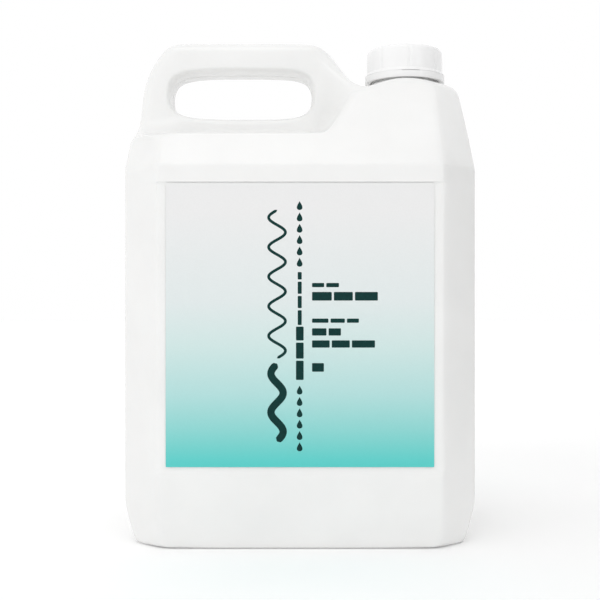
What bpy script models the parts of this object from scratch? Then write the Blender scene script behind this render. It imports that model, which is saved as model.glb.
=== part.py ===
"""Five-litre shampoo bottle: a blow-moulded canister with a through-handle, a screw cap with its
tamper band and liner, and two labels.

The bottle stands on the XY plane with its front label facing -Y, its handle on the -X side and its
neck on the +X side. The origin is the middle of its base. Sizes are in metres.
"""

import math

import bmesh
import bpy
from mathutils import Vector

MM = 0.001

# Bottle: overall sizes
BODY_WIDTH = 190 * MM
BODY_DEPTH = 134 * MM
SHOULDER_HEIGHT = 201.7 * MM  # where the front face breaks back into the shoulder
LEDGE_RISE = 18.8 * MM  # from the shoulder break up to the ledge in front of the handle
SILL_RISE = 16.3 * MM  # from the ledge up to the bottom of the handle hole
HOLE_HEIGHT = 24.5 * MM
BAR_HEIGHT = 19.1 * MM  # the grip, above the handle hole
TOWER_RISE = 54.9 * MM  # from the shoulder break up to the flat top that carries the neck
WALL = 1.2 * MM

# Bottle: corners, base and label panel
CHAMFER = 20 * MM  # the four upright corners, cut at 45 degrees
CORNER_SOFTNESS = 4 * MM
BASE_TAPER_HEIGHT = 21 * MM
BASE_INSET = 5.2 * MM
BASE_ROUND = 5.5 * MM
PANEL_BOTTOM = 42 * MM
PANEL_TO_SHOULDER = 8.7 * MM  # from the panel's top edge up to the shoulder break
PANEL_DEPTH = 0.8 * MM
PANEL_STEP = 1.2 * MM  # height over which the panel's edge slopes in

# Bottle: handle and tower
HANDLE_DEPTH = 30 * MM
LEFT_LEG = 20.5 * MM  # the handle's upright, from the hole to the side of the bottle
RIGHT_LEG = 9.5 * MM  # from the hole to the foot of the tower's flank
HANDLE_LEAN = 4.5 * MM  # how far the handle's outer edge leans in at the top
HANDLE_EDGE = 5.5 * MM  # rounding down the handle's outer edge
HANDLE_CORNER = 16 * MM
HOLE_LIP = 5 * MM  # width of the rounding around the hole
GRIP_ROUND = 6 * MM  # rounding along the top of the grip, as seen from the front
GRIP_DROP = 9 * MM  # the same rounding, as seen from the side
LEDGE_ROUND = 4 * MM  # rounding along the ledge's front edge
WALL_FOOT = 7 * MM  # how far the hollow foot of the handle's wall runs out over the ledge
FLANK_RUN = 14.5 * MM  # how far the tower's flank leans towards the neck as it rises
FLANK_CURVE = 1.3  # above 1, the flank is steeper at its foot than at its top
SIDE_LEAN = 4.4 * MM  # how far the tower's outer side leans in at the top
VALLEY_DIP = 3.2 * MM  # from the tower's top down to the cage's valley beside the grip's end
TOWER_ROUND = 7 * MM  # rounding along the tower's top, as seen from the front
TOWER_DROP = 11 * MM  # the same rounding, as seen from the side
CAP_TO_SIDE = 10.3 * MM  # flat width beside the cap, out to the side of the bottle
CAP_TO_FLANK = 21.8 * MM  # from the cap to the foot of the flank
CAP_TO_FRONT = 4.8 * MM  # flat depth in front of the cap, before the tower's rounding

# Neck finish
NECK_RADIUS = 18.0 * MM
NECK_WALL = 2.1 * MM
NECK_BASE_STEP = 1.2 * MM  # how far the neck is thicker below the bead
NECK_EDGE = 0.5 * MM  # bevel at the lip and at the bead
BEAD_REACH = 2.7 * MM  # how far the bead stands out from the neck
BEAD_HEIGHT = 1.2 * MM
THREAD_RISE = 8.4 * MM  # from the tower's top to the start of the thread
THREAD_PITCH = 4.2 * MM
THREAD_TURNS = 1.4
THREAD_SINK = 0.1 * MM  # how far a thread's centre line lies inside the wall it stands on
NECK_THREAD_ROUND = 1.3 * MM
CAP_THREAD_ROUND = 1.2 * MM
THREAD_CLEARANCE = 1.2 * MM  # from the crest of the neck's thread to the cap's wall
NECK_HEIGHT = 17.2 * MM

# Cap, tamper band and liner
CAP_WALL = 1.75 * MM
CAP_TOP_WALL = 1.6 * MM
CAP_CROWN = 1.8 * MM  # rounding between the skirt and the top
CAP_FLARE = 1.05 * MM
CAP_FLARE_HEIGHT = 2.4 * MM
CAP_GROOVES = 8
GROOVE_WIDTH = 0.8 * MM
GROOVE_DEPTH = 0.4 * MM
GROOVE_TURN = math.radians(-81)  # where the first groove stands around the cap
BAND_HEIGHT = 3.3 * MM
BAND_EDGE = 0.4 * MM  # bevel around the band's foot
BAND_LIFT = 1.2 * MM  # from the tower's top to the band
BAND_TO_BEAD = 0.6 * MM  # from the bead to the band's wall
RIB_HEIGHT = 1.4 * MM  # inward rib that is caught under the bead
RIB_SLOPE = 0.5 * MM
RIB_TO_NECK = 0.8 * MM
RIB_TO_BEAD = 0.6 * MM
TEAR_GAP = 0.4 * MM
LINER_THICKNESS = 1.2 * MM
LINER_CLEARANCE = 0.5 * MM
GAP = 0.3 * MM  # between pieces that touch

# Labels
LABEL_MARGIN = 1.6 * MM  # from the label's edge to the panel's edge
LABEL_SIDE_MARGIN = 1.2 * MM  # from the label's edge to the start of the corner
LABEL_THICKNESS = 0.3 * MM
LABEL_CORNER = 1.5 * MM

# How finely the shapes are divided
LATHE_STEPS = 40
THREAD_STEPS = 20  # points on each turn of a thread
FLAT_ANGLE = math.radians(2)  # faces that meet at less than this become one
HOLE_COLUMNS = (0.14, 0.28, 0.5, 0.78, 0.96)  # the cage's columns, as shares of the hole's width
CAP_COLUMNS = (0.5, 0.05)  # and from the neck's axis to the left, as shares of the cap's radius
PANEL_ROWS = range(1, 5)  # the cage's rows along the label panel's lower and upper edges
TOWER_ROWS = range(8, 14)  # and over the tower
LAST_COLUMN = 9
LAST_ROW = 14
ROUND_SHARE = 0.76  # where the hole's round ends and its cage meet, as shares of the end's radius
ROUND_BULGE = 1.06

# Places that follow from the sizes above
HALF_WIDTH = BODY_WIDTH / 2
HALF_DEPTH = BODY_DEPTH / 2
HANDLE_HALF = HANDLE_DEPTH / 2
TOWER_HEIGHT = SHOULDER_HEIGHT + TOWER_RISE
PANEL_TOP = SHOULDER_HEIGHT - PANEL_TO_SHOULDER
LEDGE_HEIGHT = SHOULDER_HEIGHT + LEDGE_RISE
HOLE_BOTTOM = LEDGE_HEIGHT + SILL_RISE
HOLE_TOP = HOLE_BOTTOM + HOLE_HEIGHT
HANDLE_TOP = HOLE_TOP + BAR_HEIGHT
BORE_RADIUS = NECK_RADIUS - NECK_WALL
NECK_BASE_RADIUS = NECK_RADIUS + NECK_BASE_STEP
BEAD_RADIUS = NECK_RADIUS + BEAD_REACH
BEAD_RISE = BAND_LIFT + RIB_HEIGHT + RIB_TO_BEAD  # from the tower's top to the bead's underside
CAP_INSIDE = NECK_RADIUS - THREAD_SINK + NECK_THREAD_ROUND + THREAD_CLEARANCE
CAP_RADIUS = CAP_INSIDE + CAP_WALL
BAND_RADIUS = CAP_RADIUS + CAP_FLARE
NECK_X = HALF_WIDTH - CAP_TO_SIDE - BAND_RADIUS
NECK_TOP = TOWER_HEIGHT + NECK_HEIGHT
FLANK_FOOT = NECK_X - BAND_RADIUS - CAP_TO_FLANK
TOWER_HALF_DEPTH = BAND_RADIUS + CAP_TO_FRONT
HOLE_LEFT = -HALF_WIDTH + LEFT_LEG
HOLE_RIGHT = FLANK_FOOT - RIGHT_LEG
FLAT_HALF = HALF_WIDTH - CHAMFER - CORNER_SOFTNESS  # half the width of the flat front
BAND_BOTTOM = TOWER_HEIGHT + BAND_LIFT
BAND_TOP = BAND_BOTTOM + BAND_HEIGHT
CAP_BOTTOM = BAND_TOP + TEAR_GAP
LINER_BOTTOM = NECK_TOP + GAP
CAP_CEILING = LINER_BOTTOM + LINER_THICKNESS + GAP
CAP_TOP = CAP_CEILING + CAP_TOP_WALL


def clear_scene():
    for obj in list(bpy.data.objects):
        bpy.data.objects.remove(obj, do_unlink=True)


def new_collection(name):
    collection = bpy.data.collections.new(name)
    bpy.context.scene.collection.children.link(collection)
    return collection


def plastic(name, colour, roughness):
    material = bpy.data.materials.new(name)
    material.use_nodes = True
    shader = material.node_tree.nodes["Principled BSDF"]
    shader.inputs["Base Color"].default_value = (*colour, 1)
    shader.inputs["Roughness"].default_value = roughness
    shader.inputs["Metallic"].default_value = 0
    return material


def add_object(name, mesh, collection, place=(0, 0, 0)):
    obj = bpy.data.objects.new(name, mesh)
    obj.location = place
    collection.objects.link(obj)
    return obj


def hide_cutter(obj):
    obj.hide_render = True
    obj.display_type = "WIRE"


def apply_boolean(obj, operation, other):
    modifier = obj.modifiers.new(f"{operation.lower()}_{other.name}", "BOOLEAN")
    modifier.operation = operation
    modifier.solver = "EXACT"
    modifier.object = other


def shade(obj, angle=30):
    obj.data.shade_smooth()
    obj.data.set_sharp_from_angle(angle=math.radians(angle))


# The bottle's cage. Half of it is built, at y <= 0: a grid over the front, a rim that runs from the
# grid's edge round to the parting line at y = 0, and a lip that does the same inside the hole.


def front_depth(height):
    """How far the front stands out from the parting line at this height, upright and then leaning."""
    if height <= SHOULDER_HEIGHT:
        return HALF_DEPTH
    rise = (height - SHOULDER_HEIGHT) / (TOWER_HEIGHT - SHOULDER_HEIGHT)
    return HALF_DEPTH - rise * (HALF_DEPTH - TOWER_HALF_DEPTH)


def side_reach(height):
    """Half the bottle's width at this height: upright, then leaning in beside the tower."""
    if height <= SHOULDER_HEIGHT:
        return HALF_WIDTH
    return HALF_WIDTH - SIDE_LEAN * (height - SHOULDER_HEIGHT) / (TOWER_HEIGHT - SHOULDER_HEIGHT)


def body_columns():
    """The grid's x places, left to right, on the flat front and the shoulder."""
    places = [HOLE_LEFT + share * (HOLE_RIGHT - HOLE_LEFT) for share in HOLE_COLUMNS]
    cap_places = [NECK_X - share * BAND_RADIUS for share in CAP_COLUMNS]
    return [-FLAT_HALF, *places, FLANK_FOOT, *cap_places, FLAT_HALF]


def front_grid():
    """Grid points {(column, row): (x, depth, z)}. Columns 2 to 4 stop at the hole, 7 to 9 at the tower."""
    soft = CORNER_SOFTNESS
    recess = HALF_DEPTH - PANEL_DEPTH
    above_break = SHOULDER_HEIGHT + soft
    below_ledge = LEDGE_HEIGHT - 0.6 * soft
    levels = [
        (BASE_TAPER_HEIGHT + soft, HALF_DEPTH),
        (PANEL_BOTTOM - PANEL_STEP, HALF_DEPTH),
        (PANEL_BOTTOM, recess),
        (PANEL_TOP - PANEL_STEP, recess),
        (PANEL_TOP, HALF_DEPTH),
        (SHOULDER_HEIGHT - 0.8 * soft, HALF_DEPTH),
        (above_break, front_depth(above_break)),
        (below_ledge, front_depth(below_ledge)),
    ]
    points = {}
    columns = body_columns()
    for column, x in enumerate(columns):
        for row, (height, depth) in enumerate(levels):
            points[column, row] = (x, depth, height)
    add_ledge_and_wall(points, columns)
    add_hole_edge(points, columns)
    add_handle_edge(points, columns)
    add_tower_front(points, columns)
    return points


def add_ledge_and_wall(points, columns):
    """Rows 8 to 10 in front of the handle: along the ledge, then up the hollow foot of the wall."""
    for column in range(6):
        x = columns[column]
        ledge_front = front_depth(LEDGE_HEIGHT) - LEDGE_ROUND
        points[column, 8] = (x, ledge_front, LEDGE_HEIGHT + 0.5 * MM)
        points[column, 9] = (x, HANDLE_HALF + WALL_FOOT, LEDGE_HEIGHT + 1.8 * MM)
        points[column, 10] = (x, HANDLE_HALF, LEDGE_HEIGHT + 6.5 * MM)


def add_hole_edge(points, columns):
    """Rows 11 to 14 around the hole and along the grip, on the handle's flat front."""
    end = HOLE_HEIGHT / 2 + HOLE_LIP
    middle = HOLE_BOTTOM + HOLE_HEIGHT / 2
    grip = HANDLE_TOP - GRIP_ROUND
    for column in (2, 3, 4):
        points[column, 11] = (columns[column], HANDLE_HALF, HOLE_BOTTOM - HOLE_LIP)
        points[column, 13] = (columns[column], HANDLE_HALF, HOLE_TOP + HOLE_LIP)
        points[column, 14] = (columns[column], HANDLE_HALF, grip)
    for column, edge, way in ((1, HOLE_LEFT, -1), (5, HOLE_RIGHT, 1)):
        centre = edge - way * HOLE_HEIGHT / 2
        corner_x = centre + ROUND_SHARE * way * end
        points[column, 11] = (corner_x, HANDLE_HALF, middle - ROUND_SHARE * end)
        points[column, 12] = (centre + ROUND_BULGE * way * end, HANDLE_HALF, middle)
        points[column, 13] = (corner_x, HANDLE_HALF, middle + ROUND_SHARE * end)
        points[column, 14] = (edge - way * 0.9 * HOLE_LIP, HANDLE_HALF, grip)


def add_handle_edge(points, columns):
    """Column 0 up the handle's outer edge, which leans in, and the grip's right end in column 6."""
    outer = -HALF_WIDTH + HANDLE_EDGE
    depth = HANDLE_HALF - 1 * MM
    end = HOLE_HEIGHT / 2 + HOLE_LIP
    middle = HOLE_BOTTOM + HOLE_HEIGHT / 2
    grip = HANDLE_TOP - GRIP_ROUND
    ledge_front = front_depth(LEDGE_HEIGHT) - LEDGE_ROUND
    points[0, 8] = (outer + 10 * MM, ledge_front, LEDGE_HEIGHT + 0.5 * MM)
    points[0, 9] = (outer + 5 * MM, depth + WALL_FOOT, LEDGE_HEIGHT + 2.5 * MM)
    points[0, 10] = (outer + 1 * MM, depth, LEDGE_HEIGHT + 8 * MM)
    points[0, 11] = (outer + 0.4 * HANDLE_LEAN, depth, middle - 0.6 * end)
    points[0, 12] = (outer + 0.7 * HANDLE_LEAN, depth, middle)
    points[0, 13] = (outer + HANDLE_LEAN + 1.5 * MM, depth, middle + 0.85 * end)
    points[0, 14] = (outer + HANDLE_CORNER, depth, grip)
    points[6, 14] = (HOLE_RIGHT + GRIP_ROUND, depth, grip - 2 * MM)


def add_tower_front(points, columns):
    """Rows 8 to 13 over the tower, and its flank in column 6, which leans from its foot to the neck."""
    foot = points[0, TOWER_ROWS[0] - 1][2]
    top = TOWER_HEIGHT - TOWER_ROUND
    for step, row in enumerate(TOWER_ROWS, start=1):
        share = step / len(TOWER_ROWS)
        height = foot + share * (top - foot)
        depth = front_depth(height)
        for column in (7, 8, LAST_COLUMN):
            points[column, row] = (columns[column], depth, height)
        points[6, row] = (FLANK_FOOT + FLANK_RUN * share**FLANK_CURVE, depth, height)


def in_hole(column, row):
    """Cells between columns 1 and 5 and rows 11 and 13 are the hole."""
    return 1 <= column < 5 and 11 <= row < 13


def front_cells(points):
    cells = []
    for column in range(LAST_COLUMN):
        for row in range(LAST_ROW):
            corners = [
                (column, row),
                (column + 1, row),
                (column + 1, row + 1),
                (column, row + 1),
            ]
            if all(corner in points for corner in corners) and not in_hole(column, row):
                cells.append(corners)
    return cells


def rim_sections(points):
    """Round the grid's edge: (grid key, parting-line x, z, drop in depth, two steps of the section)."""
    sections = base_sections(points)
    body_drop = CHAMFER + 1.3 * CORNER_SOFTNESS
    chamfer = ((0.30, 0.16), (0.86, 0.68))
    sections.append(((LAST_COLUMN, 1), HALF_WIDTH, BASE_TAPER_HEIGHT, body_drop, chamfer))
    for row in range(2, TOWER_ROWS[-1]):
        height = points[LAST_COLUMN, row][2]
        share = max(0, row - TOWER_ROWS[0] + 1) / len(TOWER_ROWS)
        drop = body_drop * (1 - 0.55 * share)
        sections.append(((LAST_COLUMN, row), side_reach(height), height, drop, chamfer))
    sections += top_sections(points)
    for row in range(TOWER_ROWS[0], 1, -1):
        height = points[0, row][2]
        sections.append(((0, row), -side_reach(height), height, body_drop, chamfer))
    sections.append(((0, 1), -HALF_WIDTH, BASE_TAPER_HEIGHT, body_drop, chamfer))
    return sections


def base_sections(points):
    """Along the bottom, left to right: the front's lower edge rolls under to the flat base."""
    under = ((0.32, 0.08), (0.80, 0.45))
    corner_drop = CHAMFER + 1.3 * CORNER_SOFTNESS
    base_drop = BASE_INSET + BASE_ROUND
    wide = (HALF_WIDTH - BASE_INSET - BASE_ROUND) / FLAT_HALF
    corner = HALF_WIDTH - BASE_INSET - 0.4 * BASE_ROUND
    sections = [((0, 0), -corner, 0, corner_drop, under)]
    for column in range(1, LAST_COLUMN):
        sections.append(((column, 0), points[column, 0][0] * wide, 0, base_drop, under))
    sections.append(((LAST_COLUMN, 0), corner, 0, corner_drop, under))
    return sections


def top_sections(points):
    """Over the tower's flat top, down the valley, along the grip and down the handle's outer edge."""
    over = ((0.45, 0.18), (0.85, 0.55))
    crown = side_reach(TOWER_HEIGHT)
    top_row = TOWER_ROWS[-1]
    valley = FLANK_FOOT + FLANK_RUN
    corner_drop = TOWER_DROP + 3 * MM
    edge = -HALF_WIDTH
    corner_height = points[0, 13][2] + 1 * MM
    sections = [
        ((LAST_COLUMN, top_row), crown - 1 * MM, TOWER_HEIGHT - 1.5 * MM, corner_drop, over),
        ((8, top_row), crown - 8 * MM, TOWER_HEIGHT, TOWER_DROP, over),
        ((7, top_row), NECK_X - 0.2 * BAND_RADIUS, TOWER_HEIGHT, TOWER_DROP, over),
        ((6, top_row), valley - 1 * MM, TOWER_HEIGHT - VALLEY_DIP, TOWER_DROP, over),
        ((6, LAST_ROW), HOLE_RIGHT + 9 * MM, HANDLE_TOP - 5 * MM, GRIP_DROP, over),
    ]
    for column in (5, 4, 3, 2, 1):
        x = points[column, LAST_ROW][0]
        sections.append(((column, LAST_ROW), x, HANDLE_TOP, GRIP_DROP, over))
    sections += [
        ((0, LAST_ROW), edge + HANDLE_CORNER - 2 * MM, HANDLE_TOP - 2.5 * MM, GRIP_DROP, over),
        ((0, 13), edge + HANDLE_LEAN + 1 * MM, corner_height, GRIP_DROP, over),
        ((0, 12), edge + 0.7 * HANDLE_LEAN, points[0, 12][2], GRIP_DROP, over),
        ((0, 11), edge + 0.4 * HANDLE_LEAN, points[0, 11][2], GRIP_DROP, over),
        ((0, 10), edge, points[0, 10][2], GRIP_DROP, over),
        ((0, 9), edge, points[0, 9][2], GRIP_DROP, over),
    ]
    return sections


def lip_sections(points):
    """Round the hole: (grid key, x and z of its edge on the parting line)."""
    radius = HOLE_HEIGHT / 2
    middle = HOLE_BOTTOM + radius
    right = HOLE_RIGHT - radius
    left = HOLE_LEFT + radius
    rise = ROUND_SHARE * radius
    bulge = ROUND_BULGE * radius
    sections = [((column, 11), points[column, 11][0], HOLE_BOTTOM) for column in (2, 3, 4)]
    sections += [
        ((5, 11), right + rise, middle - rise),
        ((5, 12), right + bulge, middle),
        ((5, 13), right + rise, middle + rise),
    ]
    sections += [((column, 13), points[column, 13][0], HOLE_TOP) for column in (4, 3, 2)]
    sections += [
        ((1, 13), left - rise, middle + rise),
        ((1, 12), left - bulge, middle),
        ((1, 11), left - rise, middle - rise),
    ]
    return sections


def bottle_cage():
    """The open half of the bottle's outer skin, as a mesh whose edge lies on the parting plane."""
    bm = bmesh.new()
    points = front_grid()
    corner_of = {key: bm.verts.new((x, -depth, z)) for key, (x, depth, z) in points.items()}
    for corners in front_cells(points):
        bm.faces.new([corner_of[corner] for corner in corners])

    rings = []
    for key, edge_x, edge_z, drop, steps in rim_sections(points):
        x, depth, z = points[key]
        ring = [corner_of[key]]
        for across, down in (*steps, (1, 1)):
            place = (x + across * (edge_x - x), down * drop - depth, z + across * (edge_z - z))
            ring.append(bm.verts.new(place))
        ring.append(bm.verts.new((edge_x, 0, edge_z)))
        rings.append(ring)
    join_rings(bm, rings)
    base = [ring for ring in rings if ring[-1].co.z == 0]

    rings = []
    for key, edge_x, edge_z in lip_sections(points):
        x, depth, z = points[key]
        ring = [corner_of[key]]
        for across, share in ((0.55, 0.84), (0.92, 0.45), (1, 0)):
            place = (x + across * (edge_x - x), -share * depth, z + across * (edge_z - z))
            ring.append(bm.verts.new(place))
        rings.append(ring)
    join_rings(bm, rings)
    sharpen_panel_and_base(bm, corner_of, base)

    bmesh.ops.recalc_face_normals(bm, faces=bm.faces)
    if min(bm.faces, key=lambda face: face.calc_center_median().y).normal.y > 0:
        bmesh.ops.reverse_faces(bm, faces=bm.faces)
    mesh = bpy.data.meshes.new("bottle_cage")
    bm.to_mesh(mesh)
    bm.free()
    return mesh


def sharpen_panel_and_base(bm, corner_of, base):
    """Keeps the label panel's upper and lower edges crisp, and the base flat to its edge."""
    crease = bm.edges.layers.float.new("crease_edge")
    pairs = [(ring[-2], ring[-1]) for ring in (base[0], base[-1])]
    for row in PANEL_ROWS:
        for column in range(LAST_COLUMN):
            pairs.append((corner_of[column, row], corner_of[column + 1, row]))
    for here, there in zip(base, base[1:]):
        pairs.append((here[-2], there[-2]))
    for pair in pairs:
        bm.edges.get(pair)[crease] = 1


def join_rings(bm, rings):
    for here, there in zip(rings, rings[1:] + rings[:1]):
        for step in range(len(here) - 1):
            bm.faces.new((here[step], there[step], there[step + 1], here[step + 1]))


def turned(name, profile, collection, steps=LATHE_STEPS):
    """A closed profile of (radius, height) pairs, turned about Z. It runs down its outer side."""
    bm = bmesh.new()
    corners = [bm.verts.new((radius, 0, height)) for radius, height in profile]
    for here, there in zip(corners, corners[1:] + corners[:1]):
        bm.edges.new((here, there))
    mesh = bpy.data.meshes.new(name)
    bm.to_mesh(mesh)
    bm.free()
    obj = add_object(name, mesh, collection, (NECK_X, 0, 0))
    screw = obj.modifiers.new("turn", "SCREW")
    screw.axis = "Z"
    screw.steps = steps
    screw.render_steps = steps
    screw.use_merge_vertices = True
    screw.merge_threshold = 0.01 * MM
    return obj


def thread(name, radius, roundness, start_height, collection):
    """A right-handed ridge that fades out at both ends."""
    count = round(THREAD_TURNS * THREAD_STEPS)
    curve = bpy.data.curves.new(name, "CURVE")
    curve.dimensions = "3D"
    curve.bevel_depth = roundness
    curve.bevel_resolution = 1
    curve.use_fill_caps = True
    spline = curve.splines.new("POLY")
    spline.points.add(count)
    for index, point in enumerate(spline.points):
        turn = index / THREAD_STEPS
        angle = 2 * math.pi * turn
        height = start_height + THREAD_PITCH * turn
        point.co = (radius * math.cos(angle), radius * math.sin(angle), height, 1)
        point.radius = min(1, 0.35 + 0.3 * min(index, count - index))
    guide = add_object(name + "_curve", curve, collection, (NECK_X, 0, 0))
    bpy.context.view_layer.update()
    evaluated = guide.evaluated_get(bpy.context.evaluated_depsgraph_get())
    mesh = bpy.data.meshes.new_from_object(evaluated)
    bm = bmesh.new()
    bm.from_mesh(mesh)
    bmesh.ops.remove_doubles(bm, verts=bm.verts, dist=0.001 * MM)
    bmesh.ops.recalc_face_normals(bm, faces=bm.faces)
    bm.to_mesh(mesh)
    bm.free()
    ridge = add_object(name, mesh, collection)
    ridge.matrix_world = guide.matrix_world.copy()
    bpy.data.objects.remove(guide, do_unlink=True)
    hide_cutter(ridge)
    return ridge


def make_neck(helpers):
    """Neck finish: a thick tube from inside the tower's top up to the lip, with the tamper bead."""
    root = TOWER_HEIGHT - 2.4 * WALL
    bead = TOWER_HEIGHT + BEAD_RISE
    profile = [
        (BORE_RADIUS, NECK_TOP),
        (NECK_RADIUS - NECK_EDGE, NECK_TOP),
        (NECK_RADIUS, NECK_TOP - NECK_EDGE),
        (NECK_RADIUS, bead + BEAD_HEIGHT + NECK_EDGE),
        (BEAD_RADIUS - NECK_EDGE, bead + BEAD_HEIGHT),
        (BEAD_RADIUS, bead + 0.5 * BEAD_HEIGHT),
        (BEAD_RADIUS, bead),
        (NECK_BASE_RADIUS, bead),
        (NECK_BASE_RADIUS, root),
        (BORE_RADIUS, root),
    ]
    neck = turned("neck_tube", profile, helpers)
    hide_cutter(neck)
    return neck


def make_bottle(parts, helpers):
    bottle = add_object("bottle_body", bottle_cage(), parts)
    mirror = bottle.modifiers.new("other_half", "MIRROR")
    mirror.use_axis = (False, True, False)
    mirror.merge_threshold = 0.01 * MM
    smooth = bottle.modifiers.new("blown_form", "SUBSURF")
    smooth.levels = 1
    smooth.render_levels = 1
    flats = bottle.modifiers.new("merge_flat_faces", "DECIMATE")
    flats.decimate_type = "DISSOLVE"
    flats.angle_limit = FLAT_ANGLE
    shell = bottle.modifiers.new("wall", "SOLIDIFY")
    shell.thickness = WALL
    shell.offset = -1
    shell.use_even_offset = True
    bottle.modifiers.new("split_into_triangles", "TRIANGULATE")
    apply_boolean(bottle, "UNION", make_neck(helpers))
    radius = NECK_RADIUS - THREAD_SINK
    ridge = thread("neck_thread", radius, NECK_THREAD_ROUND, TOWER_HEIGHT + THREAD_RISE, helpers)
    apply_boolean(bottle, "UNION", ridge)
    bpy.ops.mesh.primitive_cylinder_add(
        vertices=LATHE_STEPS,
        radius=BORE_RADIUS + 0.05 * MM,
        depth=12 * WALL,
        location=(NECK_X, 0, TOWER_HEIGHT - 2 * WALL),
    )
    bore = bpy.context.active_object
    bore.name = "mouth_cutter"
    move_to(bore, helpers)
    hide_cutter(bore)
    apply_boolean(bottle, "DIFFERENCE", bore)
    shade(bottle, 35)
    bottle.data.materials.append(plastic("white_hdpe", (0.87, 0.87, 0.87), 0.35))
    return bottle


def move_to(obj, collection):
    for old in list(obj.users_collection):
        old.objects.unlink(obj)
    collection.objects.link(obj)


def make_cap(parts, helpers):
    """Cap with a flared hem, shallow upright grooves and an internal thread."""
    flare_top = CAP_BOTTOM + CAP_FLARE_HEIGHT
    profile = [
        (0, CAP_TOP),
        (CAP_RADIUS - CAP_CROWN, CAP_TOP),
        (CAP_RADIUS - 0.3 * CAP_CROWN, CAP_TOP - 0.3 * CAP_CROWN),
        (CAP_RADIUS, CAP_TOP - CAP_CROWN),
        (CAP_RADIUS, flare_top),
        (BAND_RADIUS, flare_top - 0.4 * CAP_FLARE_HEIGHT),
        (BAND_RADIUS, CAP_BOTTOM),
        (CAP_INSIDE + CAP_FLARE, CAP_BOTTOM),
        (CAP_INSIDE, flare_top),
        (CAP_INSIDE, CAP_CEILING),
        (0, CAP_CEILING),
    ]
    cap = turned("screw_cap", profile, parts)
    apply_boolean(cap, "DIFFERENCE", cap_grooves(helpers))
    start = TOWER_HEIGHT + THREAD_RISE + THREAD_PITCH / 2
    ridge = thread("cap_thread", CAP_INSIDE + THREAD_SINK, CAP_THREAD_ROUND, start, helpers)
    apply_boolean(cap, "UNION", ridge)
    shade(cap, 35)
    cap.data.materials.append(plastic("white_polypropylene", (0.9, 0.9, 0.9), 0.3))
    return cap


def cap_grooves(helpers):
    """One cutter that holds a thin upright bar for each groove, from the crown to above the hem."""
    bm = bmesh.new()
    bottom = CAP_BOTTOM + CAP_FLARE_HEIGHT
    top = CAP_TOP - 0.5 * CAP_CROWN
    depth = 2 * MM
    for index in range(CAP_GROOVES):
        angle = GROOVE_TURN + 2 * math.pi * index / CAP_GROOVES
        out = Vector((math.cos(angle), math.sin(angle), 0))
        made = bmesh.ops.create_cube(bm, size=1)["verts"]
        bmesh.ops.scale(bm, vec=(depth, GROOVE_WIDTH, top - bottom), verts=made)
        turn = out.to_track_quat("X", "Z").to_matrix()
        bmesh.ops.rotate(bm, matrix=turn, verts=made)
        centre = out * (CAP_RADIUS - GROOVE_DEPTH + depth / 2)
        bmesh.ops.translate(bm, vec=centre + Vector((0, 0, (top + bottom) / 2)), verts=made)
    mesh = bpy.data.meshes.new("cap_groove_cutter")
    bm.to_mesh(mesh)
    bm.free()
    cutter = add_object("cap_groove_cutter", mesh, helpers, (NECK_X, 0, 0))
    hide_cutter(cutter)
    return cutter


def make_band(parts):
    """Tamper band: a ring around the neck's bead, with a rib inside that is caught below it."""
    inside = BEAD_RADIUS + BAND_TO_BEAD
    rib = NECK_BASE_RADIUS + RIB_TO_NECK
    rib_top = BAND_BOTTOM + RIB_HEIGHT
    profile = [
        (inside, BAND_TOP),
        (BAND_RADIUS, BAND_TOP),
        (BAND_RADIUS, BAND_BOTTOM + BAND_EDGE),
        (BAND_RADIUS - BAND_EDGE, BAND_BOTTOM),
        (rib, BAND_BOTTOM),
        (rib, rib_top - RIB_SLOPE),
        (inside, rib_top),
    ]
    band = turned("tamper_band", profile, parts)
    shade(band)
    band.data.materials.append(plastic("white_polypropylene_band", (0.9, 0.9, 0.9), 0.3))
    return band


def make_liner(parts):
    radius = CAP_INSIDE - CAP_THREAD_ROUND - LINER_CLEARANCE
    bpy.ops.mesh.primitive_cylinder_add(
        vertices=LATHE_STEPS,
        radius=radius,
        depth=LINER_THICKNESS,
        location=(NECK_X, 0, LINER_BOTTOM + LINER_THICKNESS / 2),
    )
    liner = bpy.context.active_object
    liner.name = "cap_liner"
    move_to(liner, parts)
    shade(liner)
    liner.data.materials.append(plastic("foam_wad", (0.85, 0.85, 0.82), 0.8))
    return liner


def make_label(name, way, parts, colour):
    """A rectangle with small round corners, standing off the panel. way is -1 in front, 1 behind."""
    half_width = FLAT_HALF - LABEL_SIDE_MARGIN
    low = PANEL_BOTTOM + LABEL_MARGIN
    high = PANEL_TOP - PANEL_STEP - LABEL_MARGIN
    curve = bpy.data.curves.new(name, "CURVE")
    curve.dimensions = "2D"
    curve.fill_mode = "BOTH"
    curve.extrude = LABEL_THICKNESS / 2
    spline = curve.splines.new("POLY")
    corners = rounded_rectangle(half_width, (high - low) / 2, LABEL_CORNER)
    spline.points.add(len(corners) - 1)
    for point, (x, y) in zip(spline.points, corners):
        point.co = (x, y, 0, 1)
    spline.use_cyclic_u = True
    depth = HALF_DEPTH - PANEL_DEPTH + GAP + LABEL_THICKNESS / 2
    label = add_object(name, curve, parts, (0, way * depth, (low + high) / 2))
    label.rotation_euler = (math.pi / 2, 0, 0)
    label.data.materials.append(plastic(name + "_film", colour, 0.4))
    return label


def rounded_rectangle(half_width, half_height, radius, steps=3):
    corners = []
    for quarter, (x_way, y_way) in enumerate(((1, 1), (-1, 1), (-1, -1), (1, -1))):
        for step in range(steps + 1):
            angle = math.pi / 2 * (quarter + step / steps)
            x = x_way * (half_width - radius) + radius * math.cos(angle)
            y = y_way * (half_height - radius) + radius * math.sin(angle)
            corners.append((x, y))
    return corners


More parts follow.
